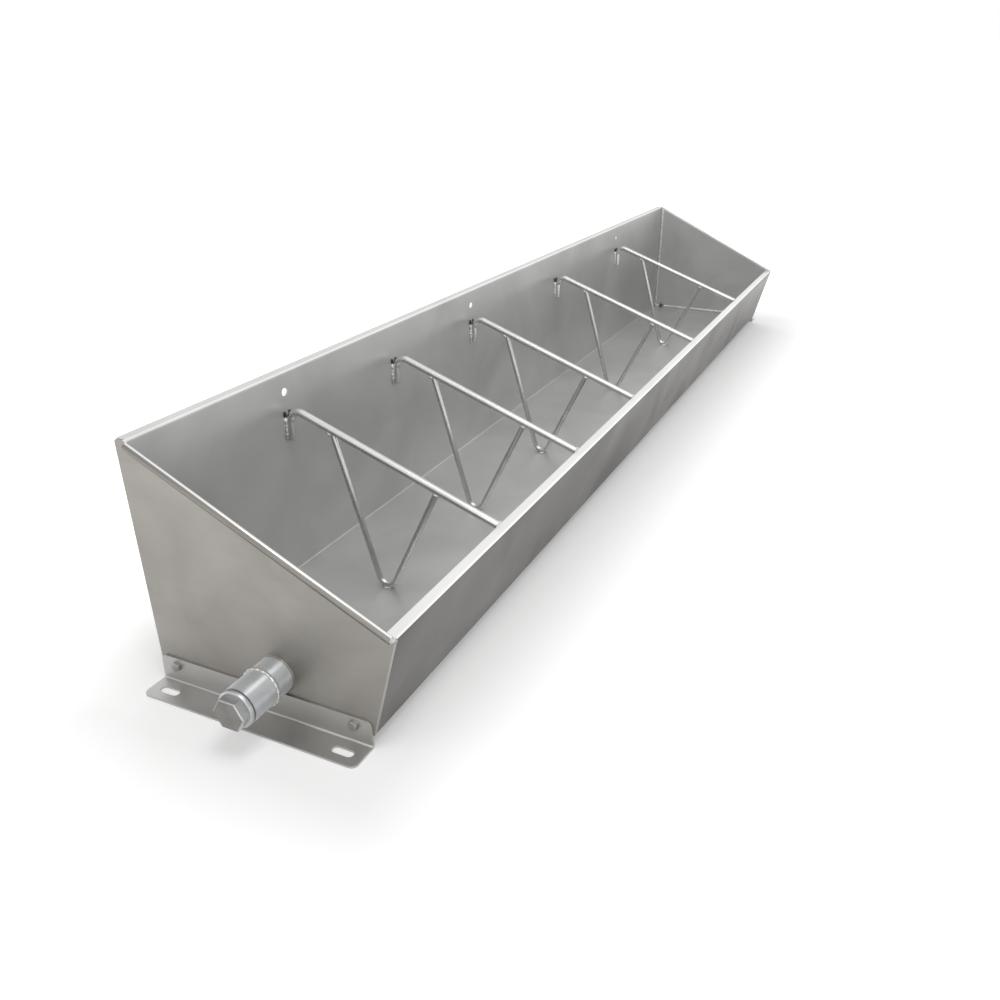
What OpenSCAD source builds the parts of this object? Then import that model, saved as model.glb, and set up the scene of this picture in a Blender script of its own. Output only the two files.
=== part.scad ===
// Stainless feeding trough for young pigs: a folded sheet between two end plates,
// welded feeding dividers, bolted feet and a screwed drain plug.
// Millimetres, +X along the trough away from the drain, +Y to the back wall, +Z up from the floor.

/* [Trough] */
// Number of narrow feeding places, at the drain's end
narrow_count = 3; // [1:1:5]
// Length of a narrow feeding place
narrow_pitch = 200; // [160:5:260]
// Number of wide feeding places, at the other end
wide_count = 3; // [1:1:5]
// Length of a wide feeding place
wide_pitch = 300; // [220:5:400]
// Depth of the flat bottom, front fold to back wall
bottom_depth = 220; // [195:1:290]
// Height of the back wall above the floor
back_height = 227; // [190:1:300]
// Height of the front lip above the floor
lip_height = 111; // [92:1:140]
// How far the front wall leans out between the bottom and the lip
front_lean = 26; // [5:1:55]
// Thickness of the folded sheet
sheet_t = 2; // [1:0.1:3]
// Inside radius of the folds
fold_r = 1.5; // [1:0.5:6]
// Width of the lip turned in along the front
lip_w = 12; // [10.5:0.5:20]
// Width of the flange turned out along the back
flange_w = 8; // [7.5:0.5:16]
// Clear height between the floor and the trough's bottom
ground_gap = 11; // [6:0.5:13]
// Diameter of a wall fixing hole
wall_hole_d = 8; // [5:0.5:11]
// Drop of the wall fixing holes below the back wall's top
wall_hole_drop = 21; // [12:1:25]

/* [End plates] */
// Thickness of an end plate
plate_t = 2; // [1:0.1:3]
// Inside radius of the hem rolled over the sloping edge
hem_fold_r = 1; // [0.5:0.5:2]
// Length of the hem's flap past its roll
hem_flap = 1; // [0.5:0.5:6]
// Gap left between the hem and the corner at the back
hem_relief = 3; // [2:0.5:20]

/* [Dividers] */
// Diameter of a divider's top bar
bar_d = 8; // [7:0.5:12]
// Drop of the bar's axis below the back wall's top, where it meets its leg
bar_drop = 35; // [33:1:50]
// Radius of the bar's bend, to its axis
bar_bend_r = 11; // [8:0.5:15]
// Length of the leg below the bar's height at the wall
leg_l = 35; // [26:1:45]
// Diameter of the V-bent rod under a bar
vee_d = 6; // [4:0.5:7]
// Radius of the V's bottom bend, to its axis
vee_bend_r = 10; // [7:0.5:16]
// Size of the weld beads on the dividers
weld_r = 1.8; // [1.2:0.1:2.5]

/* [Feet] */
// Height of a bracket's upright leg
foot_h = 26; // [24:0.5:34]
// Reach of a bracket's floor leg
foot_w = 29; // [26:0.5:50]
// Thickness of a bracket
foot_t = 2; // [1.5:0.5:4]
// Inset of a bracket's ends from the bottom's edges
foot_inset = 1; // [0:0.5:10]
// Radius of a bracket's free corners
foot_corner_r = 6; // [3:0.5:8]
// Width of a floor slot
slot_w = 8; // [6:0.5:10]
// Overall length of a floor slot
slot_l = 20; // [14:0.5:28]
// Distance from a bracket's end to the middle of its slot
slot_inset = 19; // [16:0.5:40]
// Distance from the end plate to the middle of a slot
slot_x = 16.5; // [13:0.5:19]
// Distance from a bracket's end to its bolt
bolt_inset = 17; // [12:0.5:40]
// Gap between the bolts' washers and the trough's inside bottom
bolt_rise = 0.5; // [0.5:0.5:2]
// Thread diameter of the bracket bolts
bolt_d = 5; // [4:1:5]

/* [Drain] */
// Distance of the drain's axis from the back wall
drain_from_back = 128; // [70:1:150]
// Outside diameter of the stub pipe
stub_d = 33.7; // [32:0.1:42]
// Wall of the stub pipe
stub_wall = 3.2; // [2:0.1:3.6]
// Length of the stub outside the end plate
stub_l = 20; // [12:0.5:40]
// Height of the weld blended round the stub's base
base_weld = 1; // [0.5:0.5:6]
// Outside diameter of the threaded socket
socket_d = 33.5; // [33:0.5:45]
// Length of the threaded socket
socket_l = 27; // [16:0.5:35]
// Height of the bead that joins socket and stub
bead_h = 1.4; // [0.8:0.1:2.2]
// Width of the bead that joins socket and stub
bead_w = 4.5; // [3:0.5:7]
// Outside diameter of the plug's thread
thread_d = 26.4; // [21:0.1:27]
// Length of the plug's thread
thread_l = 12; // [8:0.5:15]
// Thickness of the gasket
gasket_t = 1; // [1:0.5:4]
// Outside diameter of the gasket
gasket_d = 31.5; // [30:0.5:33]
// Diameter of the plug's round collar
collar_d = 33; // [33:0.5:44]
// Thickness of the plug's round collar
collar_t = 4; // [3:0.5:8]
// Width of the plug's hexagon across its flats
hex_af = 26; // [19:0.5:28]
// Height of the plug's hexagon
hex_h = 8; // [5:0.5:14]

/* [Hidden] */
$fn = 64;
// Depth that a cut runs past the faces it opens
overrun = 1;
// Gap between welded pieces with curved faces
seam_gap = 0.05;
// Gap of the sliding fits and seats round the drain plug
fit_gap = 0.06;
// Clearance of a bolt in its hole
bolt_gap = 0.3;
// Gap between the drain stub and the foot bracket under it
stub_gap = 0.5;
// Shares of a bar's run, from the wall, where the V joins it
vee_joint_shares = [0.21, 0.72];
// Share of a bar's run, from the wall, at the V's bottom
vee_bottom_share = 0.45;
// Turn by which the two halves of a rod's bend run into each other, in degrees
bend_overlap = 4;
// Length by which folds and hems run into the sheet beside them
lap = 0.3;
// How far a fold, a corner or half of a bend stands proud of what it runs into
swell = 0.02;
// Radius of the end plates' corners at the back wall's top
plate_corner_r = 3;
// Radius inside the bracket's bend
foot_bend_r = 1.5;
// Shares of the bolt's diameter: hexagon across flats, head height, nut height
hex_share = 10 / 6;
head_share = 4 / 6;
nut_share = 5 / 6;
// Shares of the bolt's diameter: washer across and thickness, thread past the nut
washer_share = 2;
washer_t_share = 1.6 / 6;
tail_share = 0.5;
// Share of a hexagon's width that its chamfer leaves round
chamfer_share = 0.92;

// Places of the faces, measured from the back wall's outer face
places = narrow_count + wide_count;
narrow_length = narrow_count * narrow_pitch;
trough_length = narrow_length + wide_count * wide_pitch;
half_length = trough_length / 2;
wall_in_y = -sheet_t;
floor_z = ground_gap + sheet_t;
bolt_z = floor_z + bolt_rise + bolt_d * washer_share / 2;
lip_mid_z = lip_height - sheet_t / 2;
fold_out_r = fold_r + sheet_t;
front_bottom_y = -bottom_depth;
front_top_y = front_bottom_y - front_lean;
lip_inner_y = front_top_y + lip_w;
bar_front = [lip_inner_y, lip_mid_z];
bar_back = [wall_in_y - seam_gap - bar_d / 2, back_height - bar_drop];
bar_run = bar_front - bar_back;
leg_end = bar_back - [0, leg_l];
drain_z = foot_h + stub_gap + stub_d / 2;
foot_mid_y = -bottom_depth / 2;
foot_half = bottom_depth / 2 - foot_inset;
socket_x = stub_l + socket_l;
drain_reach = socket_x + gasket_t + 2 * fit_gap + collar_t + hex_h;

// Middle line of the folded sheet, from the back flange round to the lip
sheet_line = [
    [flange_w, back_height - sheet_t / 2],
    [-sheet_t / 2, back_height - sheet_t / 2],
    [-sheet_t / 2, ground_gap + sheet_t / 2],
    [front_bottom_y + sheet_t / 2, ground_gap + sheet_t / 2],
    [front_top_y + sheet_t / 2, lip_mid_z],
    [lip_inner_y, lip_mid_z],
];

// Corners of an end plate and their radii, round from the bottom at the back
plate_corners = [
    [0, ground_gap],
    [flange_w, back_height],
    [wall_in_y, back_height],
    [front_top_y, lip_height],
    [front_bottom_y, ground_gap],
];
plate_radii = [fold_out_r, plate_corner_r, plate_corner_r, fold_out_r, fold_out_r];

// Outside radius of the hem's roll, and how far in from the sloping edge the hem ends
hem_r = hem_fold_r + plate_t;
hem_depth = 2 * hem_r + hem_flap;

// The part's origin: the middle of its footprint on the floor
lip_centre = corner_centre(plate_corners[2], plate_corners[3], plate_corners[4], fold_out_r);
front_y = lip_centre.x - fold_out_r - swell;
middle_x = (drain_reach - foot_w) / 2;
middle_y = -(flange_w + front_y) / 2;

// Corner geometry: b is the corner between a and c, r the radius on it
function unit(v) = v / norm(v);
function half_angle(a, b, c) = acos(unit(a - b) * unit(c - b)) / 2;
function corner_cut(a, b, c, r) = r / tan(half_angle(a, b, c));
function corner_centre(a, b, c, r) = b + unit(unit(a - b) + unit(c - b)) * r / sin(half_angle(a, b, c));
function corner_start(a, b, c, r) = b + unit(a - b) * corner_cut(a, b, c, r);
function corner_end(a, b, c, r) = b + unit(c - b) * corner_cut(a, b, c, r);
function heading(v) = atan2(v.y, v.x);
function left_of(v) = [-v.y, v.x];

// Place of a divider along the trough, counted from the drain's end
function divider_x(i) =
    min(i, narrow_count) * narrow_pitch + max(i - narrow_count, 0) * wide_pitch - half_length;

// Turns a drawing of the cross section, in y and z, to stand across the trough
module across() {
    rotate([90, 0, 90]) children();
}

// Moves the trough so that its footprint's middle is the origin
module placed() {
    translate([middle_x, middle_y, 0]) children();
}

// Convex outline with a true arc on each corner
module rounded_outline(corners, radii) {
    n = len(corners);
    polygon([for (i = [0:n - 1]) let (a = corners[(i + n - 1) % n], b = corners[i], c = corners[(i + 1) % n])
        each [corner_start(a, b, c, radii[i]), corner_end(a, b, c, radii[i])]]);
    for (i = [0:n - 1])
        translate(corner_centre(corners[(i + n - 1) % n], corners[i], corners[(i + 1) % n], radii[i]))
            circle(radii[i] + swell);
}

// One fold of a sheet at the corner b, as a piece of a ring that runs on into the flats and stands proud
module fold(a, b, c, t, r, run, proud) {
    mid_r = r + t / 2;
    centre = corner_centre(a, b, c, mid_r);
    from = corner_start(a, b, c, mid_r) + unit(a - b) * run;
    to = corner_end(a, b, c, mid_r) + unit(c - b) * run;
    intersection() {
        translate(centre) difference() {
            circle(r + t + proud);
            circle(r - proud);
        }
        polygon([centre, 2 * from - centre, 2 * b - centre, 2 * to - centre]);
    }
}

// Cross section of a folded sheet along a middle line
module folded_strip(line, t, r) {
    last = len(line) - 1;
    mid_r = r + t / 2;
    for (i = [0:last - 1]) {
        from = i == 0 ? line[0] : corner_end(line[i - 1], line[i], line[i + 1], mid_r);
        to = i == last - 1 ? line[last] : corner_start(line[i], line[i + 1], line[i + 2], mid_r);
        side = left_of(unit(to - from)) * t / 2;
        polygon([from - side, to - side, to + side, from + side]);
    }
    for (i = [1:last - 1])
        fold(line[i - 1], line[i], line[i + 1], t, r, lap, swell);
}

// Straight round rod between two points of the cross section
module rod(from, to, d) {
    translate(from) rotate([0, 90, heading(to - from)]) cylinder(d = d, h = norm(to - from));
}

// Round rod along +y that starts beside zero from a bend, which turns back clockwise about zero
module bent_rod(length, d, r, turn) {
    translate([r, 0, 0]) rotate([-90, 0, 0]) cylinder(d = d, h = length);
    rotate_extrude(angle = -turn) translate([r, 0]) circle(d = d);
}

// Space that a divider's bar takes, run out past both ends
module bar_space(gap) {
    away = unit(bar_run) * bar_d;
    rod(bar_back - away, bar_front + away, bar_d + 2 * gap);
}

// Folded sheet

module trough_sheet() {
    sheet_half = half_length - plate_t;
    color("silver") difference() {
        translate([-sheet_half, 0, 0]) across()
            linear_extrude(2 * sheet_half) folded_strip(sheet_line, sheet_t, fold_r);
        for (i = [1:2:places - 1])
            translate([divider_x(i), overrun, back_height - wall_hole_drop]) rotate([90, 0, 0])
                cylinder(d = wall_hole_d, h = sheet_t + 2 * overrun);
    }
}

// End plates

// Plate standing at the left end, with its outer face at zero and the hem outside it
module end_plate() {
    slope = unit(plate_corners[3] - plate_corners[2]);
    hem_from = plate_corners[2] + slope * hem_relief;
    hem_to = corner_start(plate_corners[2], plate_corners[3], plate_corners[4], fold_out_r);
    hem_l = norm(hem_to - hem_from);
    difference() {
        across() union() {
            linear_extrude(plate_t) difference() {
                rounded_outline(plate_corners, plate_radii);
                translate(hem_from) rotate(heading(slope)) translate([lap, -overrun])
                    square([hem_l - 2 * lap, overrun + hem_r]);
            }
            translate(hem_from) rotate([90, 0, heading(slope) + 90])
                linear_extrude(hem_l) hem_section();
        }
        for (y = [-1, 1])
            translate([-overrun, foot_mid_y + y * (foot_half - bolt_inset), bolt_z]) rotate([0, 90, 0])
                cylinder(d = bolt_d + 2 * bolt_gap, h = plate_t + 2 * overrun);
    }
}

// Cross section of the hem and the strip of plate behind it, reaching in from zero:
// a roll outside the plate, with a straight flap that closes onto it
module hem_section() {
    centre = [hem_r, plate_t - hem_r];
    flap_end = [hem_depth, -plate_t];
    reach = flap_end - centre;
    turn = heading(reach) - acos(hem_r / norm(reach));
    flap_start = centre + hem_r * [cos(turn), sin(turn)];
    translate(centre) circle(hem_r);
    polygon([
        centre, flap_start + unit(flap_start - flap_end) * lap, flap_end,
        [hem_depth, plate_t], [hem_r - lap, plate_t],
    ]);
}

module end_plate_left() {
    color("gainsboro") translate([-half_length, 0, 0]) difference() {
        end_plate();
        translate([-overrun, -drain_from_back, drain_z]) rotate([0, 90, 0])
            cylinder(d = stub_d + 2 * seam_gap, h = plate_t + 2 * overrun);
    }
}

module end_plate_right() {
    color("gainsboro") mirror([1, 0, 0]) translate([-half_length, 0, 0]) end_plate();
}

// Feeding dividers

// Bar bent down into a leg on the back wall, with its weld beads
module divider_bar(i) {
    centre = corner_centre(bar_front, bar_back, leg_end, bar_bend_r);
    bend_top = corner_start(bar_front, bar_back, leg_end, bar_bend_r);
    turn = heading(bend_top - centre);
    straight_l = centre.y - leg_end.y;
    color("lightsteelblue") translate([divider_x(i), 0, 0]) across() difference() {
        union() {
            translate(centre) mirror([0, 1, 0])
                bent_rod(straight_l, bar_d + 2 * swell, bar_bend_r, turn / 2 + bend_overlap);
            translate(centre) rotate(turn)
                bent_rod(norm(bar_front - bend_top) + bar_d, bar_d, bar_bend_r, turn / 2 + bend_overlap);
            translate(bar_front) rotate([0, 90, heading(-bar_run)])
                rotate_extrude() translate([bar_d / 2, 0]) circle(weld_r);
            for (z = [-1, 1])
                translate([wall_in_y - weld_r / 2, leg_end.y, z * bar_d / 2]) rotate([-90, 0, 0])
                    cylinder(r = weld_r, h = straight_l);
        }
        translate([lip_inner_y - bar_d * 2, lip_mid_z - bar_d, -bar_d])
            cube([bar_d * 2, bar_d * 2, bar_d * 2]);
        translate([wall_in_y, leg_end.y - overrun, -bar_d])
            cube([weld_r + overrun, straight_l + 2 * overrun, bar_d * 2]);
    }
}

// Rod bent to a V, welded under the bar and standing on the trough's bottom
module divider_vee(i) {
    centre = [bar_back.x + bar_run.x * vee_bottom_share, floor_z + seam_gap + vee_d / 2 + vee_bend_r];
    color("lightblue") translate([divider_x(i), 0, 0]) across() difference() {
        for (side = [0, 1])
            translate(centre) mirror([side, 0, 0])
                vee_arm(bar_back + bar_run * vee_joint_shares[side] - centre, side);
        bar_space(seam_gap);
    }
}

// One arm of the V with its half of the bend, out to a joint on one side of the bend's centre
module vee_arm(joint, side) {
    reach = [side == 0 ? joint.x : -joint.x, joint.y];
    turn = heading(reach) - acos(vee_bend_r / norm(reach));
    arm_l = sqrt(reach * reach - vee_bend_r * vee_bend_r);
    rotate(turn) bent_rod(arm_l, vee_d + 2 * side * swell, vee_bend_r, turn + 90 + bend_overlap);
}

// Feet

// Angle bracket at the left end, with its upright leg against the plate
module foot_bracket() {
    bend_end = foot_bend_r + foot_t;
    corner = [-foot_t, foot_t] / 2;
    translate([0, foot_mid_y, 0]) difference() {
        union() {
            translate([-foot_t, 0, 0]) across() linear_extrude(foot_t)
                rounded_top(foot_half, bend_end, foot_h);
            rotate(90) linear_extrude(foot_t)
                rounded_top(foot_half, bend_end, foot_w);
            rotate([90, 0, 0]) translate([0, 0, -foot_half]) linear_extrude(2 * foot_half)
                fold([corner.x, foot_h], corner, [-foot_w, corner.y], foot_t, foot_bend_r, 0, 0);
        }
        for (y = [-1, 1]) {
            translate([-slot_x, y * (foot_half - slot_inset), -overrun]) linear_extrude(foot_t + 2 * overrun)
                slot_outline();
            translate([-foot_t - overrun, y * (foot_half - bolt_inset), bolt_z]) rotate([0, 90, 0])
                cylinder(d = bolt_d + 2 * bolt_gap, h = foot_t + 2 * overrun);
        }
    }
}

// Leg of a bracket from where its bend ends, with its free corners rounded
module rounded_top(half, bottom, top) {
    polygon([
        [-half, bottom], [half, bottom],
        [half, top - foot_corner_r], [half - foot_corner_r, top],
        [foot_corner_r - half, top], [-half, top - foot_corner_r],
    ]);
    for (side = [-1, 1])
        translate([side * (half - foot_corner_r), top - foot_corner_r]) circle(foot_corner_r);
}

// Slot with round ends, running front to back
module slot_outline() {
    straight = slot_l - slot_w;
    square([slot_w, straight], center = true);
    for (y = [-1, 1])
        translate([0, y * straight / 2]) circle(d = slot_w);
}

module foot_bracket_left() {
    color("darkgray") translate([-half_length, 0, 0]) foot_bracket();
}

module foot_bracket_right() {
    color("darkgray") mirror([1, 0, 0]) translate([-half_length, 0, 0]) foot_bracket();
}

// Puts one fastener on each of the four bracket bolts, pointing inwards from the plate's outer face
module at_bolts() {
    for (end = [0, 1], y = [-1, 1])
        mirror([end, 0, 0])
            translate([-half_length, foot_mid_y + y * (foot_half - bolt_inset), bolt_z])
                rotate([0, 90, 0]) children();
}

// Hexagon standing on zero, with the corners of its far end chamfered
module hexagon(af, h) {
    far_d = af * chamfer_share;
    intersection() {
        cylinder(d = af / cos(30), h = h, $fn = 6);
        cylinder(d1 = far_d + 2 * h / tan(30), d2 = far_d, h = h);
    }
}

module bracket_bolts() {
    length = foot_t + plate_t + bolt_d * (washer_t_share + nut_share + tail_share);
    color("lightgray") at_bolts() {
        translate([0, 0, -foot_t]) cylinder(d = bolt_d, h = length);
        translate([0, 0, -foot_t]) mirror([0, 0, 1]) hexagon(bolt_d * hex_share, bolt_d * head_share);
    }
}

module bracket_washers() {
    color("white") at_bolts() translate([0, 0, plate_t]) difference() {
        cylinder(d = bolt_d * washer_share, h = bolt_d * washer_t_share);
        translate([0, 0, -overrun])
            cylinder(d = bolt_d + 2 * seam_gap, h = bolt_d * washer_t_share + 2 * overrun);
    }
}

module bracket_nuts() {
    color("gray") at_bolts() translate([0, 0, plate_t + bolt_d * washer_t_share]) difference() {
        hexagon(bolt_d * hex_share, bolt_d * nut_share);
        translate([0, 0, -overrun])
            cylinder(d = bolt_d + 2 * seam_gap, h = bolt_d * nut_share + 2 * overrun);
    }
}

// Drain

// Turns pieces drawn along their own axis to run out of the left end plate
module on_drain_axis() {
    translate([-half_length, -drain_from_back, drain_z]) rotate([0, -90, 0]) children();
}

// Pipe through the end plate, with the weld blended round its base
module drain_stub() {
    stub_r = stub_d / 2;
    color("silver") on_drain_axis() difference() {
        union() {
            translate([0, 0, -plate_t]) cylinder(r = stub_r, h = plate_t + stub_l);
            intersection() {
                rotate_extrude() difference() {
                    square([stub_r + base_weld, base_weld]);
                    translate([stub_r + base_weld, base_weld]) circle(base_weld);
                }
                translate([-stub_r - stub_gap / 2, -stub_d, 0]) cube([2 * stub_d, 2 * stub_d, base_weld]);
            }
        }
        translate([0, 0, -plate_t - overrun])
            cylinder(r = stub_r - stub_wall, h = plate_t + stub_l + 2 * overrun);
    }
}

// Bead that joins the socket to the stub
module drain_weld() {
    inner_r = max(stub_d, socket_d) / 2 + seam_gap;
    bead_r = (bead_w * bead_w / 4 + bead_h * bead_h) / (2 * bead_h);
    color("slategray") on_drain_axis() translate([0, 0, stub_l]) rotate_extrude() intersection() {
        translate([inner_r + bead_h - bead_r, 0]) circle(bead_r);
        translate([inner_r, -bead_w]) square([bead_h + overrun, 2 * bead_w]);
    }
}

module drain_socket() {
    color("lightgray") on_drain_axis() translate([0, 0, stub_l]) difference() {
        cylinder(d = socket_d, h = socket_l);
        translate([0, 0, -overrun]) cylinder(d = thread_d + 2 * fit_gap, h = socket_l + 2 * overrun);
    }
}

module plug_gasket() {
    color("dimgray") on_drain_axis() translate([0, 0, socket_x + fit_gap]) difference() {
        cylinder(d = gasket_d, h = gasket_t);
        translate([0, 0, -overrun]) cylinder(d = thread_d + 2 * fit_gap, h = gasket_t + 2 * overrun);
    }
}

module drain_plug() {
    color("whitesmoke") on_drain_axis() translate([0, 0, socket_x + gasket_t + 2 * fit_gap]) {
        cylinder(d = collar_d, h = collar_t);
        translate([0, 0, collar_t]) hexagon(hex_af, hex_h);
        translate([0, 0, -thread_l]) cylinder(d = thread_d, h = thread_l);
    }
}

placed() {
    trough_sheet();
    end_plate_left();
    end_plate_right();
    for (i = [1:places - 1]) {
        divider_bar(i);
        divider_vee(i);
    }
    foot_bracket_left();
    foot_bracket_right();
    bracket_bolts();
    bracket_washers();
    bracket_nuts();
    drain_stub();
    drain_weld();
    drain_socket();
    plug_gasket();
    drain_plug();
}
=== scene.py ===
import bpy
import numpy as np
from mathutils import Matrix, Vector


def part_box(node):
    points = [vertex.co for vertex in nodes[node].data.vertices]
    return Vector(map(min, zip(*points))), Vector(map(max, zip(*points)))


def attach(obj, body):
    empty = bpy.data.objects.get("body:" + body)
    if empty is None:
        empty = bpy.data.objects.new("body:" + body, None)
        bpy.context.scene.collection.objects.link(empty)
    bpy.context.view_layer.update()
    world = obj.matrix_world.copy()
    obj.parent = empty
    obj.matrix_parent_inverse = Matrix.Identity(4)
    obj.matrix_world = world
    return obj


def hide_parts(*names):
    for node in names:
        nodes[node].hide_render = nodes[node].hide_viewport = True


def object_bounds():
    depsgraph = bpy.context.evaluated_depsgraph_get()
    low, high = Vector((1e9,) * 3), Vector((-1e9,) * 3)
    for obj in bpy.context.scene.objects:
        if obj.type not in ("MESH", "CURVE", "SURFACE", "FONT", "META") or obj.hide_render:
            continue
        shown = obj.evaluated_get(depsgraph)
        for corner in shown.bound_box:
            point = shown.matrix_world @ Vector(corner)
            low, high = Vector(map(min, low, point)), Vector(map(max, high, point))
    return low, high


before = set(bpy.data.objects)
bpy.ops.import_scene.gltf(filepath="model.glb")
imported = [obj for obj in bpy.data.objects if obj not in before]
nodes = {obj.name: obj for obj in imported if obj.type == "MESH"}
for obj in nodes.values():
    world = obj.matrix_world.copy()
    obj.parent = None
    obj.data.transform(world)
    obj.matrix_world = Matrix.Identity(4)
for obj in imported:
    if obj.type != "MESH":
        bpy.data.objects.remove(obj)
cad_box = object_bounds()

# Camera
# It stands about half a metre up and as far off the drain's end, and looks along the trough and down into
# it. Its lens is a little wide, so the near end is drawn large and the far end small.
looking = Vector((0.8154, 0.3876, -0.4300))
camera_data = bpy.data.cameras.new("camera")
camera_data.sensor_width = 36.0
camera_data.lens = 32.39
camera = bpy.data.objects.new("camera", camera_data)
camera.location = (-1.2017, -0.4335, 0.4887)
camera.rotation_mode = "QUATERNION"
camera.rotation_quaternion = looking.to_track_quat("-Z", "Y")
bpy.context.scene.collection.objects.link(camera)
bpy.context.scene.camera = camera

# Floor, surround and light
# A white studio: a matt floor that turns white away from the trough, a white surround, and large softboxes
# behind, overhead and beside the camera, so that satin steel shows soft gradients and bright upper edges.


def linear(hex_colour):
    """Linear red, green, blue and alpha of an sRGB hex colour."""
    srgb = np.array([int(hex_colour[i:i + 2], 16) for i in (1, 3, 5)]) / 255.0
    rgb = np.where(srgb <= 0.04045, srgb / 12.92, ((srgb + 0.055) / 1.055) ** 2.4)
    return (*rgb.tolist(), 1.0)


def add(tree, kind, links=None, values=None, **settings):
    """Adds a node, sets its properties and socket values, and links sockets to outputs of earlier nodes."""
    node = tree.nodes.new(kind)
    for name, setting in settings.items():
        setattr(node, name, setting)
    for name, value in (values or {}).items():
        node.inputs[name].default_value = value
    for name, output in (links or {}).items():
        tree.links.new(output, node.inputs[name])
    return node


def new_material(name):
    """An empty node material and its tree."""
    material = bpy.data.materials.new(name)
    material.use_nodes = True
    material.node_tree.nodes.clear()
    return material, material.node_tree


def seen_or_mirrored(tree):
    """One for rays from the camera, from a mirror or through glass, and zero for rays that give light."""
    rays = add(tree, "ShaderNodeLightPath").outputs
    bent = add(tree, "ShaderNodeMath", {0: rays["Is Glossy Ray"], 1: rays["Is Transmission Ray"]},
               operation="MAXIMUM")
    either = add(tree, "ShaderNodeMath", {0: rays["Is Camera Ray"], 1: bent.outputs[0]}, operation="MAXIMUM")
    return either.outputs[0]


# Matt paint takes soft shadows. Its own glow grows with distance from the trough's box, in metres, so that
# the floor fades into the surround. The weaker glow beside the trough is painted shade there.
floor_paint, tree = new_material("matt_white_studio_floor")
glow_beside, glow_away, glow_reach = 0.27, 0.95, 0.3
half_size = np.abs(cad_box).max(axis=0).tolist()
place = add(tree, "ShaderNodeTexCoord").outputs["Object"]
beside = add(tree, "ShaderNodeVectorMath", {0: place}, operation="ABSOLUTE")
beyond = add(tree, "ShaderNodeVectorMath", {0: beside.outputs[0]}, {1: half_size}, operation="SUBTRACT")
outside = add(tree, "ShaderNodeVectorMath", {0: beyond.outputs[0]}, {1: (0, 0, 0)}, operation="MAXIMUM")
away = add(tree, "ShaderNodeVectorMath", {0: outside.outputs[0]}, operation="LENGTH")
whitening = add(tree, "ShaderNodeMapRange", {"Value": away.outputs["Value"]},
                {"From Min": 0.0, "From Max": glow_reach, "To Min": glow_beside, "To Max": glow_away})
strength = add(tree, "ShaderNodeMath", {0: seen_or_mirrored(tree), 1: whitening.outputs[0]},
               operation="MULTIPLY")
glow = add(tree, "ShaderNodeEmission", {"Strength": strength.outputs[0]}, {"Color": linear("#ffffff")})
matt = add(tree, "ShaderNodeBsdfDiffuse", values={"Color": linear("#f0f0f0")})
both = add(tree, "ShaderNodeAddShader", {0: matt.outputs[0], 1: glow.outputs[0]})
add(tree, "ShaderNodeOutputMaterial", {"Surface": both.outputs[0]})

floor_half = 40.0
floor_corners = [(x * floor_half, y * floor_half, 0.0) for x, y in ((-1, -1), (1, -1), (1, 1), (-1, 1))]
floor_mesh = bpy.data.meshes.new("floor")
floor_mesh.from_pydata(floor_corners, [], [(0, 1, 2, 3)])
floor_mesh.materials.append(floor_paint)
floor = bpy.data.objects.new("floor", floor_mesh)
bpy.context.scene.collection.objects.link(floor)

world = bpy.data.worlds.new("white_surround")
world.use_nodes = True
tree = world.node_tree
tree.nodes.clear()
lighting, seen = 0.3, 1.0
strength = add(tree, "ShaderNodeMapRange", {"Value": seen_or_mirrored(tree)},
               {"To Min": lighting, "To Max": seen})
surround = add(tree, "ShaderNodeBackground", {"Strength": strength.outputs[0]}, {"Color": linear("#ffffff")})
add(tree, "ShaderNodeOutputWorld", {"Surface": surround.outputs[0]})
bpy.context.scene.world = world


def softbox(name, place, aim, width, height, power, mirrored=True):
    """A rectangular area lamp at a place, facing an aim point. Metal mirrors it, or it only gives light."""
    lamp = bpy.data.lights.new(name, "AREA")
    lamp.shape = "RECTANGLE"
    lamp.size, lamp.size_y = width, height
    lamp.energy = power
    holder = bpy.data.objects.new(name, lamp)
    holder.location = place
    holder.rotation_mode = "QUATERNION"
    holder.rotation_quaternion = (Vector(aim) - Vector(place)).to_track_quat("-Z", "Y")
    holder.visible_glossy = mirrored
    bpy.context.scene.collection.objects.link(holder)


middle, near_part, near_end = (0.0, 0.0, 0.1), (-0.6, 0.0, 0.0), (-0.7, 0.0, 0.0)
softbox("softbox_behind", (2.6, 0.9, 2.9), middle, width=3.4, height=2.6, power=30, mirrored=False)
softbox("softbox_above", (-0.8, -0.7, 2.4), near_part, width=1.1, height=0.9, power=15)
softbox("softbox_back", (1.3, 2.6, 1.5), middle, width=3.0, height=1.6, power=10, mirrored=False)
softbox("softbox_back_left", (-2.5, 1.3, 1.9), near_end, width=2.6, height=1.9, power=11, mirrored=False)
softbox("softbox_right", (2.4, -1.5, 1.6), middle, width=3.0, height=1.8, power=5)
softbox("softbox_beside_camera", (-2.6, -1.25, 1.5), middle, width=3.0, height=2.0, power=12)

# Folded trough sheet
# One 2 mm stainless sheet, folded to a tall back wall, a flat bottom, a low leaning front and a narrow lip.
# It keeps the mill's satin finish outside, with soft clouds from handling, and its greys there are painted
# shade, darker than the plates. Inside it is paler and less metallic as painted light, and the rim and the
# flange's top are painted highlights.


def box_mm(node):
    """Lowest and highest corner of a CAD node, in millimetres."""
    return [np.array(corner) * 1000.0 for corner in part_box(node)]


def zone(walls, light, dark, roughness, bareness=1.0):
    """A region of a piece with greys, roughness and bareness of its own. A wall is a direction and a distance
    along it in millimetres, and the region is beyond all its walls."""
    return walls, light, dark, roughness, bareness


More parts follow.
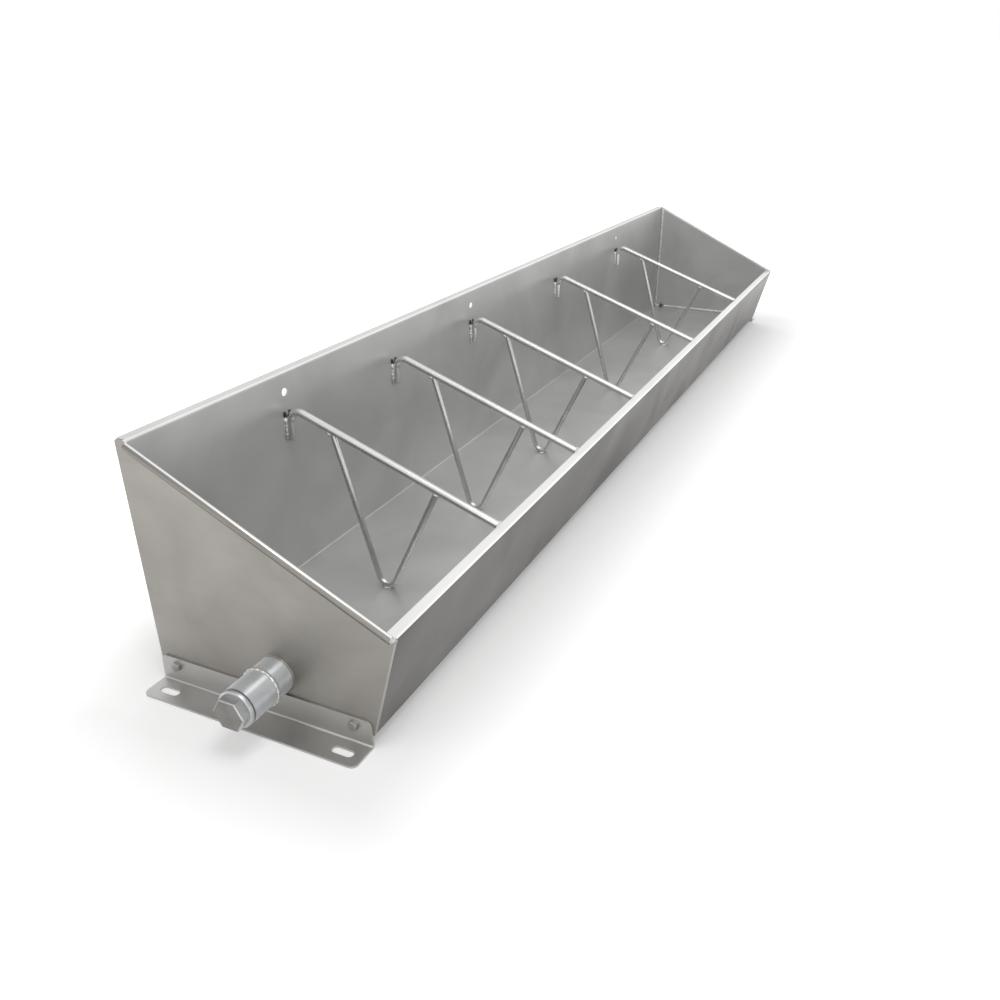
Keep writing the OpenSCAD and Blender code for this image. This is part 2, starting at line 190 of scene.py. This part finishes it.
def satin_steel(name, light, dark, roughness, along, streak_mm, cloud_mm, relief_mm, zones=(), bareness=1.0,
                turned=0.0):
    """Satin stainless steel. Soft clouds of cloud_mm shift the colour between two greys and the polish a
    little. Faint lines run along one axis or round two, streak_mm apart and relief_mm deep. Zones have their
    own finish. A turned piece, round the X axis, spreads its gloss along it, as fine lathe grooves do."""
    streak_aspect, line_share, polish_swing = 60.0, 0.12, 0.05
    zone_fade, quarter_turn = 0.0002, 0.25
    material, tree = new_material(name)
    place = add(tree, "ShaderNodeTexCoord").outputs["Object"]
    # The lines on real rolled sheet are finer, and are drawn as coarse as they need to show.
    across_scale = 1000.0 / streak_mm
    stretch = [across_scale / streak_aspect if axis in along else across_scale for axis in "xyz"]
    lines_at = add(tree, "ShaderNodeMapping", {"Vector": place}, {"Scale": stretch})
    lines = add(tree, "ShaderNodeTexNoise", {"Vector": lines_at.outputs[0]},
                {"Scale": 1.0, "Detail": 3.0, "Roughness": 0.6})
    clouds = add(tree, "ShaderNodeTexNoise", {"Vector": place},
                 {"Scale": 1000.0 / cloud_mm, "Detail": 3.0, "Roughness": 0.5, "Distortion": 0.6})
    # The sockets of a Mix node go by number: 0 is the share, 2 and 3 are values, and 6 and 7 are colours.
    blend = add(tree, "ShaderNodeMix", {2: clouds.outputs[0], 3: lines.outputs[0]}, {0: line_share})
    tone = add(tree, "ShaderNodeMapRange", {"Value": blend.outputs[0]}, {"From Min": 0.32, "From Max": 0.68})
    colour = add(tree, "ShaderNodeMix", {0: tone.outputs[0]}, {6: linear(dark), 7: linear(light)},
                 data_type="RGBA")
    polish = add(tree, "ShaderNodeMapRange", {"Value": blend.outputs[0]},
                 {"From Min": 0.3, "From Max": 0.7,
                  "To Min": roughness + polish_swing, "To Max": roughness - polish_swing})
    bump = add(tree, "ShaderNodeBump", {"Height": lines.outputs[0]},
               {"Strength": 1.0, "Distance": relief_mm / 1000.0})
    steel = add(tree, "ShaderNodeBsdfPrincipled", {"Normal": bump.outputs[0]}, {"Metallic": bareness})
    if turned:
        round_x = add(tree, "ShaderNodeTangent", direction_type="RADIAL", axis="X")
        tree.links.new(round_x.outputs[0], steel.inputs["Tangent"])
        steel.inputs["Anisotropic"].default_value = turned
        steel.inputs["Anisotropic Rotation"].default_value = quarter_turn
    for walls, zone_light, zone_dark, zone_roughness, zone_bareness in zones:
        inside = None
        for direction, distance in walls:
            reach = add(tree, "ShaderNodeVectorMath", {0: place}, {1: direction}, operation="DOT_PRODUCT")
            beyond = add(tree, "ShaderNodeMath", {0: reach.outputs["Value"]}, {1: distance / 1000.0},
                         operation="SUBTRACT")
            inside = add(tree, "ShaderNodeMath", {0: beyond.outputs[0], 1: inside.outputs[0]},
                         operation="MINIMUM") if inside else beyond
        within = add(tree, "ShaderNodeMapRange", {"Value": inside.outputs[0]},
                     {"From Min": 0.0, "From Max": zone_fade})
        zone_tone = add(tree, "ShaderNodeMix", {0: tone.outputs[0]},
                        {6: linear(zone_dark), 7: linear(zone_light)}, data_type="RGBA")
        colour = add(tree, "ShaderNodeMix",
                     {0: within.outputs[0], 6: colour.outputs[2], 7: zone_tone.outputs[2]}, data_type="RGBA")
        polish = add(tree, "ShaderNodeMix", {0: within.outputs[0], 2: polish.outputs[0]}, {3: zone_roughness})
        if zone_bareness < 1.0:
            bare = add(tree, "ShaderNodeMapRange", {"Value": within.outputs[0]},
                       {"To Min": bareness, "To Max": zone_bareness})
            tree.links.new(bare.outputs[0], steel.inputs["Metallic"])
    tree.links.new(colour.outputs[2], steel.inputs["Base Color"])
    tree.links.new(polish.outputs[0], steel.inputs["Roughness"])
    add(tree, "ShaderNodeOutputMaterial", {"Surface": steel.outputs[0]})
    return material


def dress(names, material, worn_mm=0.0):
    """Gives CAD nodes a material, and rounds their sharp edges by worn_mm."""
    for name in names:
        piece = nodes[name]
        piece.data.materials.clear()
        piece.data.materials.append(material)
        if worn_mm:
            weld = piece.modifiers.new("joined_faces", "WELD")
            weld.merge_threshold = 1e-6
            bevel = piece.modifiers.new("worn_edges", "BEVEL")
            bevel.width = worn_mm / 1000.0
            bevel.segments = 2
            bevel.limit_method = "ANGLE"
            bevel.angle_limit = np.radians(35.0)
            bevel.harden_normals = True


sheet_t, flange_w, lip_w = 2.0, 8.0, 12.0
lip_height, bottom_depth, front_lean = 111.0, 220.0, 26.0
(sheet_start, _, under_z), (sheet_end, flange_y, top_z) = box_mm("trough_sheet")
back_y = flange_y - flange_w
wall_y = back_y - sheet_t
floor_z = under_z + sheet_t
front_foot_y = back_y - bottom_depth
front_top_y = front_foot_y - front_lean
front_up = np.array([front_top_y - front_foot_y, lip_height - under_z])
front_in = np.array([front_up[1], -front_up[0]]) / np.linalg.norm(front_up)
interior_light_margin, interior_light_rise = 1.0, 10.0
lip_foot = np.array([front_top_y + lip_w + interior_light_margin, lip_height - sheet_t - interior_light_margin])
rim = np.array([wall_y, top_z + interior_light_rise]) - lip_foot
below_rim = np.array([rim[1], -rim[0]]) / np.linalg.norm(rim)
inner_walls = [((0, -1, 0), -wall_y - sheet_t / 2), ((0, 0, 1), floor_z - sheet_t / 2),
               ((0, *front_in), front_in @ [front_foot_y, under_z] + sheet_t / 2),
               ((1, 0, 0), sheet_start - sheet_t / 2), ((-1, 0, 0), -sheet_end - sheet_t / 2)]
interior_light_walls = inner_walls + [((0, *below_rim), below_rim @ lip_foot)]
back_depth, flange_depth, hole_margin = 0.3, 1.5, 0.15
hole_walls = [((0, 1, 0), wall_y + hole_margin), ((0, -1, 0), -back_y + hole_margin),
              ((0, 0, 1), floor_z + lip_height)]
# The rim inside the lip is near white: a painted highlight.
rim_painted_highlight_zone = zone(inner_walls, "#f4f4f2", "#eaeae8", roughness=0.3)
# Below the rim the inside is paler and less metallic than the outside: painted light.
interior_painted_light_zone = zone(interior_light_walls, "#cdcecc", "#bbbcba", roughness=0.4, bareness=0.45)
# The back face keeps a paler grey, free of the painted shade on the rest of the outside.
back_zone = zone([((0, 1, 0), back_y - back_depth)], "#99968f", "#8c8983", roughness=0.44)
# The flange's top is near white: a painted highlight.
flange_painted_highlight_zone = zone([((0, 0, 1), top_z - flange_depth)], "#d9d9d7", "#cfcfcd", roughness=0.3)
hole_zone = zone(hole_walls, "#f2f2f0", "#e6e6e4", roughness=0.35)
# Rolled sheet has a silky gloss: broad soft highlights, with faint lines along the trough. Its two base
# greys are darkened as painted shade.
sheet_steel = satin_steel("satin_cold_rolled_stainless_sheet", "#787673", "#64625f", roughness=0.38,
                          along="x", streak_mm=1.6, cloud_mm=130, relief_mm=0.008,
                          zones=[rim_painted_highlight_zone, interior_painted_light_zone, back_zone, flange_painted_highlight_zone, hole_zone])
dress(["trough_sheet"], sheet_steel)

# End plates
# Two plates of the same sheet, cut to the trough's section. Their sloping top edges are rolled over outside
# as a hem, with a painted highlight on top and painted shade on its side, and they are seam-welded to the
# sheet's ends.
slope = np.array([wall_y - front_top_y, top_z - lip_height])
slope /= np.linalg.norm(slope)
slope_up = np.array([-slope[1], slope[0]])
hem_highlight_depth, hem_side_gap, front_edge_highlight_w = 0.35, 0.4, 1.2
# The hem's top is near white: a painted highlight.
hem_painted_highlight_zone = zone([((0, *slope_up), slope_up @ [wall_y, top_z] - hem_highlight_depth)], "#f0f0ee", "#e6e6e4",
                    roughness=0.3)
# The hem's side beyond the plate's face is darker and duller: painted shade.
hem_painted_shade_sides = [zone([((end, 0, 0), end * sheet_x + sheet_t + hem_side_gap)], "#918e89", "#827f7a",
                  roughness=0.46)
             for end, sheet_x in ((-1, sheet_start), (1, sheet_end))]
# The plate's front edge strip is paler: a painted highlight along the corner.
front_edge_painted_highlight = zone([((0, *-front_in), -front_in @ [front_foot_y, under_z] - front_edge_highlight_w)], "#b4b2ae", "#a6a4a0",
                 roughness=0.42)
# The plates take the same painted light inside.
plate_interior_painted_light_zone = (inner_walls, *interior_painted_light_zone[1:])
# The plates are duller than the sheet, which gives an even warm grey with no clear mirror image.
plate_steel = satin_steel("satin_stainless_end_plate", "#a09d98", "#908d88", roughness=0.46,
                          along="y", streak_mm=1.4, cloud_mm=110, relief_mm=0.008,
                          zones=[plate_interior_painted_light_zone, front_edge_painted_highlight, *hem_painted_shade_sides, hem_painted_highlight_zone])
dress(["end_plate_left", "end_plate_right"], plate_steel, worn_mm=0.7)

# Welds between end plates and sheet
# The sheet's ends butt on the plates. A rippled fillet runs down inside each corner, and outside the seam
# was ground flush. A dab of weld closes the front end of each rolled hem.


def skin(name, grids, material, body, looped=False):
    """One mesh of several grids of points in millimetres. A grid is rings by points round each ring: quads
    join neighbours, every ring closes round, and end rings get a flat cap, or join if the path is looped."""
    points, faces = [], []
    start = 0
    for grid in grids:
        rings, around = grid.shape[:2]
        index = start + np.arange(rings * around).reshape(rings, around)
        following = np.roll(index, -1, axis=0) if looped else index[1:]
        present = index if looped else index[:-1]
        quads = np.stack([present, np.roll(present, -1, 1), np.roll(following, -1, 1), following], axis=-1)
        faces += quads.reshape(-1, 4).tolist()
        if not looped:
            faces += [index[0][::-1].tolist(), index[-1].tolist()]
        points.append(grid.reshape(-1, 3))
        start += rings * around
    mesh = bpy.data.meshes.new(name)
    mesh.from_pydata((np.concatenate(points) / 1000.0).tolist(), [], faces)
    mesh.polygons.foreach_set("use_smooth", np.ones(len(mesh.polygons), dtype=bool))
    mesh.set_sharp_from_angle(angle=np.radians(40.0))
    mesh.materials.append(material)
    piece = bpy.data.objects.new(name, mesh)
    bpy.context.scene.collection.objects.link(piece)
    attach(piece, body)
    return piece


def rounded_line(corners, radius, step, arc_points=9):
    """Distances and points along a line through the corners of a cross section, a step apart, with an arc of
    the radius on each inner corner."""
    corners = np.array(corners, float)
    points = [corners[0]]
    for before, corner, after in zip(corners[:-2], corners[1:-1], corners[2:]):
        back = (before - corner) / np.linalg.norm(before - corner)
        on = (after - corner) / np.linalg.norm(after - corner)
        half = np.arccos(back @ on) / 2
        centre = corner + (back + on) / np.linalg.norm(back + on) * radius / np.sin(half)
        first, last = (corner + way * radius / np.tan(half) - centre for way in (back, on))
        share = np.linspace(0.0, 1.0, arc_points)[:, None]
        spread = np.pi - 2 * half
        swing = np.sin((1 - share) * spread) * first + np.sin(share * spread) * last
        points += list(centre + swing / np.sin(spread))
    points = np.array(points + [corners[-1]])
    runs = np.concatenate([[0.0], np.cumsum(np.linalg.norm(np.diff(points, axis=0), axis=1))])
    along = np.linspace(0.0, runs[-1], int(runs[-1] / step) + 2)
    return along, np.stack([np.interp(along, runs, column) for column in points.T], axis=-1)


def bead(along, path, up, half_width, height, pitch, lumps, looped=False, phase=0.0, around=12):
    """Weld bead: an oval section carried along a path, half_width to each side and height off the joint. Its
    size goes up and down once per pitch, steep on one side as pools of metal set over each other, with slower
    uneven lumps added, and it tapers at both ends unless it is looped."""
    steepness, ripple_share, uneven_share = 0.8, 0.6, 0.4
    taper_l, smallest = 1.2 * half_width, 0.02
    if looped:
        tangent = np.roll(path, -1, 0) - np.roll(path, 1, 0)
    else:
        tangent = np.gradient(path, axis=0)
    tangent /= np.linalg.norm(tangent, axis=1, keepdims=True)
    up = np.broadcast_to(np.asarray(up, float), path.shape)
    side = np.cross(up, tangent)
    side /= np.linalg.norm(side, axis=1, keepdims=True)
    pool = along / pitch + phase
    ripple = np.sin(2 * np.pi * pool + steepness * np.sin(2 * np.pi * pool))
    uneven = np.sin(pool * 1.7 + phase) * np.cos(pool * 0.61 + 2.0 * phase)
    size = 1.0 + lumps * (ripple_share * ripple + uneven_share * uneven)
    if not looped:
        size *= np.sqrt(np.clip(np.minimum(along, along[-1] - along) / taper_l, smallest, 1.0))
    angle = np.linspace(0.0, 2 * np.pi, around, endpoint=False)
    wide = (size * half_width)[:, None, None] * np.cos(angle)[None, :, None] * side[:, None, :]
    high = (size * height)[:, None, None] * np.sin(angle)[None, :, None] * up[:, None, :]
    return path[:, None, :] + wide + high


def dab(centre, radii, turn, phase, rings=14, around=20):
    """Weld dab: an ellipsoid in latitude and longitude, turned about the X axis, with a few broad lumps."""
    up_angle = np.linspace(-0.49 * np.pi, 0.49 * np.pi, rings)[:, None]
    round_angle = np.linspace(0.0, 2 * np.pi, around, endpoint=False)[None, :]
    lump = (1.0 + 0.07 * np.sin(3 * round_angle + phase) * np.cos(2 * up_angle)
            + 0.05 * np.sin(5 * round_angle - 2 * phase) * np.cos(up_angle))
    x = radii[0] * lump * np.cos(up_angle) * np.cos(round_angle)
    y = radii[1] * lump * np.cos(up_angle) * np.sin(round_angle)
    z = radii[2] * lump * np.sin(up_angle) * np.ones_like(round_angle)
    cosine, sine = np.cos(turn), np.sin(turn)
    return np.stack([centre[0] + x, centre[1] + y * cosine - z * sine, centre[2] + y * sine + z * cosine],
                    axis=-1)


# Weld metal sets pale and smooth, so that each ripple glints by itself.
weld_steel = satin_steel("stainless_weld_metal", "#dadad8", "#b8b6b1", roughness=0.34,
                         along="z", streak_mm=2.5, cloud_mm=5, relief_mm=0.012, bareness=0.7)
leaning_t = sheet_t * np.hypot(1.0, front_lean / (lip_height - under_z))
fillet, fillet_inset, rim_gap, lip_gap = 2.2, 0.4, 4.0, 1.0
inside_line = [(wall_y - fillet, top_z - rim_gap), (wall_y - fillet, floor_z + fillet),
               (front_foot_y + leaning_t + fillet, floor_z + fillet),
               (front_top_y + leaning_t + fillet, lip_height - sheet_t - lip_gap)]
hem_end_in, hem_end_down, hem_end_out, hem_end_radii = 2.9, 2.6, 3.0, (2.9, 2.4, 3.1)
hem_end = np.array([front_top_y, lip_height]) + hem_end_in * slope - hem_end_down * slope_up
inner_welds, hem_ends = [], []
for end, sheet_x in ((-1, sheet_start), (1, sheet_end)):
    along, line = rounded_line(inside_line, radius=1.5, step=0.9)
    path = np.column_stack([np.full(len(line), sheet_x - end * fillet_inset), line])
    inner_welds.append(bead(along, path, (-end, 0, 0), half_width=3.4, height=2.0, pitch=4.2, lumps=0.14,
                            phase=0.3 * end))
    hem_ends.append(dab((sheet_x + end * hem_end_out, *hem_end), hem_end_radii,
                        turn=np.arctan2(slope[1], slope[0]), phase=end))
skin("inner_corner_welds", inner_welds, weld_steel, "trough")
skin("hem_end_welds", hem_ends, weld_steel, "trough")

# Feeding dividers
# Five 8 mm drawn bars, each bent down to a short leg on the back wall, with a 6 mm rod bent to a V under it.
# Bars and rods are cut to length, bent cold and welded in.
bar_names = [name for name in nodes if name.startswith("divider_bar_")]
vee_names = [name for name in nodes if name.startswith("divider_vee_")]
# Drawn bar is brighter and smoother than sheet, which gives one long highlight with faint lines along it.
bar_steel = satin_steel("bright_drawn_stainless_bar", "#d8d8d7", "#c4c4c3", roughness=0.28,
                        along="y", streak_mm=1.6, cloud_mm=40, relief_mm=0.0015)
dress(bar_names + vee_names, bar_steel)

# Welds of the dividers
# Each leg has a bead down both sides, with almost black dabs at its ends. Each front end has an almost black
# seam under it at the lip, and each V a rounded dab under the bar at both joints and a flat one where it
# stands on the bottom.
bar_r, bar_drop, leg_l = 4.0, 35.0, 35.0
vee_joint_shares, vee_bottom_share = (0.21, 0.72), 0.45
bar_back = np.array([wall_y - bar_r, top_z - bar_drop])
bar_front = np.array([box_mm(bar_names[0])[0][1], lip_height - sheet_t / 2])
bar_run = bar_front - bar_back
bar_along = bar_run / np.linalg.norm(bar_run)
bar_down = np.array([-bar_along[1], bar_along[0]])
bar_slope = np.arctan2(-bar_run[1], -bar_run[0])
leg_foot_z = bar_back[1] - leg_l
leg_bead_l, leg_bead_start, leg_bead_aside, leg_bead_proud = 21.0, 3.5, 3.7, 0.6
facing_aside, facing_out, leg_bead_steps = 0.62, -0.78, 60
crater_aside, crater_proud, crater_w, crater_h = 4.0, 0.5, 1.7, 1.5
crater_spans = ((leg_foot_z + 1.6, 2.2), (leg_foot_z + 5.6 + leg_bead_l, 3.2))
lip_bead_lap, lip_bead_out, lip_bead_gap = 0.12, 0.7, 0.9
joint_gap, joint_radii = 0.2, (3.9, 4.8, 2.3)
standing_rise, standing_radii = 0.3, (4.6, 5.8, 1.6)
leg_beads, craters, lip_beads, joint_dabs, standing_dabs = [], [], [], [], []
for name in bar_names:
    low, high = box_mm(name)
    x = (low[0] + high[0]) / 2
    for side in (-1, 1):
        along = np.linspace(0.0, leg_bead_l, leg_bead_steps)
        path = np.column_stack([np.full(leg_bead_steps, x + side * leg_bead_aside),
                                np.full(leg_bead_steps, wall_y - leg_bead_proud),
                                leg_foot_z + leg_bead_start + along])
        leg_bead = bead(along, path, (facing_aside * side, facing_out, 0), half_width=2.4, height=2.3,
                        pitch=4.6, lumps=0.2, phase=x + side)
        leg_bead[:, :, 1] = np.minimum(leg_bead[:, :, 1], wall_y + sheet_t / 2)
        leg_beads.append(leg_bead)
        for crater_z, crater_l in crater_spans:
            centre = (x + side * crater_aside, wall_y - crater_proud, crater_z)
            craters.append(dab(centre, (crater_w, crater_h, crater_l), turn=0.0, phase=x + side))
    angle = np.linspace(-lip_bead_lap * np.pi, (1.0 + lip_bead_lap) * np.pi, 40)
    outward = np.column_stack([np.cos(angle), np.outer(np.sin(angle), bar_down)])
    path = np.array([x, *(bar_front - lip_bead_out * bar_along)]) + bar_r * outward
    path[:, 1] = np.maximum(path[:, 1], bar_front[0] + lip_bead_gap)
    lip_beads.append(bead(bar_r * (angle - angle[0]), path, outward, half_width=1.2, height=1.0,
                          pitch=3.4, lumps=0.14, phase=x))
    for share in vee_joint_shares:
        at = bar_back + share * bar_run + (bar_r + joint_gap) * bar_down
        joint_dabs.append(dab((x, *at), joint_radii, turn=bar_slope, phase=x * share))
    standing_y = bar_back[0] + vee_bottom_share * bar_run[0]
    standing_dabs.append(dab((x, standing_y, floor_z + standing_rise), standing_radii, turn=0.0, phase=x))
# Almost black and dull, so that the dabs at the leg beads' ends and the seams at the bar ends show as dark
# marks on the pale weld.
near_black_weld_steel = satin_steel("near_black_weld_end", "#3a3836", "#262423", roughness=0.5,
                             along="z", streak_mm=2.5, cloud_mm=4, relief_mm=0.012, bareness=0.6)
skin("bar_leg_welds", leg_beads, weld_steel, "trough")
skin("bar_leg_weld_craters", craters, near_black_weld_steel, "trough")
skin("bar_lip_welds", lip_beads, near_black_weld_steel, "trough")
skin("vee_joint_welds", joint_dabs, weld_steel, "trough")
skin("vee_floor_welds", standing_dabs, weld_steel, "trough")

# Foot brackets
# Two angles folded from 2 mm flat, bolted low on the end plates, with round corners and two floor slots each.
# Their edges were deburred by hand and catch the light. The flat is paler than the plates and nearly as dull,
# so that the brackets stand out softly from them.
bracket_steel = satin_steel("satin_stainless_bracket", "#c0bfbd", "#b2b1ae", roughness=0.42,
                            along="y", streak_mm=1.2, cloud_mm=60, relief_mm=0.008)
dress(["foot_bracket_left", "foot_bracket_right"], bracket_steel, worn_mm=0.4)

# Bolts, washers and nuts
# M5 stainless hexagon bolts through bracket and plate, with a washer and nut on the inside. They are
# cold-headed, which leaves them smooth, so that each flat takes a clear light or dark of its own. The rolled
# threads show only on the tails past the nuts.
fastener_steel = satin_steel("bright_stainless_fastener", "#a9a9a6", "#93938f", roughness=0.34,
                             along="x", streak_mm=0.8, cloud_mm=6, relief_mm=0.006)
dress(["bracket_bolts", "bracket_washers", "bracket_nuts"], fastener_steel, worn_mm=0.25)


def threaded(along, turn, major_r, depth, pitch):
    """Radius of a right-hand screw thread at distances along its axis and turns about it: a sharp zigzag once
    per pitch, which moves on by one pitch per turn."""
    phase = along / pitch - turn / (2 * np.pi)
    return major_r - depth * np.abs(2.0 * (phase - np.floor(phase)) - 1.0)


bolt_r, bolt_pitch, bolt_thread_depth, bolt_inset = 2.5, 0.8, 0.4, 17.0
tail_l, tail_inset, tail_swell, tail_tip, tail_chamfer = bolt_r, 5.5, 0.15, 0.3, 0.8
bolts_low, bolts_high = box_mm("bracket_bolts")
foot_low, foot_high = box_mm("foot_bracket_left")
bolt_z = (bolts_low[2] + bolts_high[2]) / 2
middle_x = (bolts_low[0] + bolts_high[0]) / 2
along = np.linspace(0.0, tail_l, 25)[:, None]
turn = np.linspace(0.0, 2 * np.pi, 32, endpoint=False)[None, :]
radius = np.minimum(threaded(along, turn, bolt_r + tail_swell, bolt_thread_depth, bolt_pitch),
                    bolt_r - tail_tip + (tail_l - along) * tail_chamfer)
tails = []
for end in (-1, 1):
    for y in (foot_low[1] + bolt_inset, foot_high[1] - bolt_inset):
        x = middle_x + end * (sheet_end - middle_x - tail_inset - along) + 0.0 * turn
        tails.append(np.stack([x, y - end * radius * np.cos(turn), bolt_z + radius * np.sin(turn)], axis=-1))
skin("bolt_threads", tails, fastener_steel, "trough")

# Drain
# A short pipe stub through the end plate, with a threaded socket butt-welded onto it by one thin lumpy bead.
# Both were skimmed on a lathe. The stub's base is blended into the plate, and its last 1.8 mm there has a
# painted shade of dull plate grey.
base_shade_l = 1.8
# The stub's last 1.8 mm by the plate is darker and duller: painted shade.
stub_base_painted_shade = zone([((1, 0, 0), sheet_start - sheet_t - base_shade_l)], "#a5a29d", "#96938d", roughness=0.5)
# Fine lathe grooves spread the gloss along the pipe, which gives it broad bands from light to dark.
drain_steel = satin_steel("turned_stainless_pipe", "#d3d5d7", "#c3c5c7", roughness=0.5,
                          along="yz", streak_mm=0.3, cloud_mm=20, relief_mm=0.01,
                          zones=[stub_base_painted_shade], turned=0.95)
dress(["drain_stub", "drain_socket"], drain_steel)

bead_height, bead_pools, bead_steps = 1.2, 20, 240
weld_low, weld_high = box_mm("drain_weld")
weld_mid = (weld_low + weld_high) / 2
weld_r = (weld_high[1] - weld_low[1]) / 2 - bead_height
angle = np.linspace(0.0, 2 * np.pi, bead_steps, endpoint=False)
outward = np.column_stack([np.zeros(bead_steps), np.cos(angle), -np.sin(angle)])
drain_bead = bead(weld_r * angle, weld_mid + weld_r * outward, outward, half_width=1.6, height=bead_height,
                  pitch=2 * np.pi * weld_r / bead_pools, lumps=0.45, looped=True, around=16)
drain_ring = skin("drain_weld_bead", [drain_bead], weld_steel, "trough", looped=True)
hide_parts("drain_weld")

# Gasket
# A flat black rubber ring, punched from sheet, between the socket's end and the plug's collar. It is squeezed
# when the plug is screwed home, and comes out with the plug. Rubber is matt and almost black, with a faint
# grain, so that it reads as a dark line between bright rims.
grain_mm = 1.5
gasket_rubber, tree = new_material("matt_black_rubber")
place = add(tree, "ShaderNodeTexCoord").outputs["Object"]
grain = add(tree, "ShaderNodeTexNoise", {"Vector": place}, {"Scale": 1000.0 / grain_mm, "Detail": 3.0})
tint = add(tree, "ShaderNodeMix", {0: grain.outputs[0]}, {6: linear("#1b1b1b"), 7: linear("#2f2e2d")},
           data_type="RGBA")
rubber = add(tree, "ShaderNodeBsdfPrincipled", {"Base Color": tint.outputs[2]}, {"Roughness": 0.75})
add(tree, "ShaderNodeOutputMaterial", {"Surface": rubber.outputs[0]})
dress(["plug_gasket"], gasket_rubber)

# Plug
# A stainless plug, turned from bar, with a pipe thread, a round collar and a milled hexagon. It screws into
# the socket until its collar presses the gasket.
collar_t, hex_h, hex_af, hex_edge = 4.0, 8.0, 26.0, 0.9
thread_r, thread_pitch, thread_depth = 13.2, 1.814, 1.16
thread_end, thread_tip, thread_chamfer, face_depth = 1.6, 1.0, 0.8, 0.3
plug_low, plug_high = box_mm("drain_plug")
plug_mid = (plug_low + plug_high) / 2
collar_r = (plug_high[1] - plug_low[1]) / 2
seat_x = plug_low[0] + hex_h + collar_t
# The hexagon's end face is darker and duller: painted shade.
face_painted_shade_zone = zone([((-1, 0, 0), -plug_low[0] - face_depth)], "#8d8b87", "#7f7d79", roughness=0.45)
# Turned steel keeps fine rings, which break up its highlights, and the end face is darker and duller as
# painted shade.
plug_steel = satin_steel("turned_stainless_plug", "#c2c3c4", "#b0b1b2", roughness=0.36,
                         along="yz", streak_mm=0.4, cloud_mm=12, relief_mm=0.03, zones=[face_painted_shade_zone])
thread_l = plug_high[0] - seat_x
turn = np.linspace(0.0, 2 * np.pi, 144, endpoint=False)[None, :]
thread_rows = np.linspace(-thread_l, -thread_end, 110)[:, None]
thread_radius = np.minimum(threaded(thread_rows, turn, thread_r, thread_depth, thread_pitch),
                           thread_r - thread_tip + thread_chamfer * (thread_rows + thread_l))
# From thread to hexagon, as distance from the seat and radius: a neck, then the collar with worn edges.
neck = np.array([(-1.5, thread_r - 1.3), (-0.1, thread_r - 1.3), (0.0, thread_r - 1.0),
                 (0.0, collar_r - 0.2), (0.2, collar_r), (collar_t - 0.6, collar_r),
                 (collar_t - 0.2, collar_r - 0.3), (collar_t, collar_r - 0.8)])
neck_radius = neck[:, 1:] + 0.0 * turn
flat_angle = np.mod(turn, np.pi / 3) - np.pi / 6
hex_rows = np.linspace(collar_t, collar_t + hex_h, 33)[:, None]
broken_edge = np.maximum(hex_rows - (collar_t + hex_h - hex_edge), 0.0)
hex_radius = (hex_af / 2 - broken_edge) / np.cos(flat_angle)
rows = np.concatenate([thread_rows, neck[:, :1], hex_rows])
radius = np.concatenate([thread_radius, neck_radius, hex_radius])
plug_points = np.stack([seat_x - rows + 0.0 * turn, plug_mid[1] + radius * np.cos(turn),
                        plug_mid[2] - radius * np.sin(turn)], axis=-1)
plug = skin("turned_drain_plug", [plug_points], plug_steel, "plug")
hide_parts("drain_plug")

bpy.context.scene.view_settings.view_transform = "Standard"
bpy.context.view_layer.update()
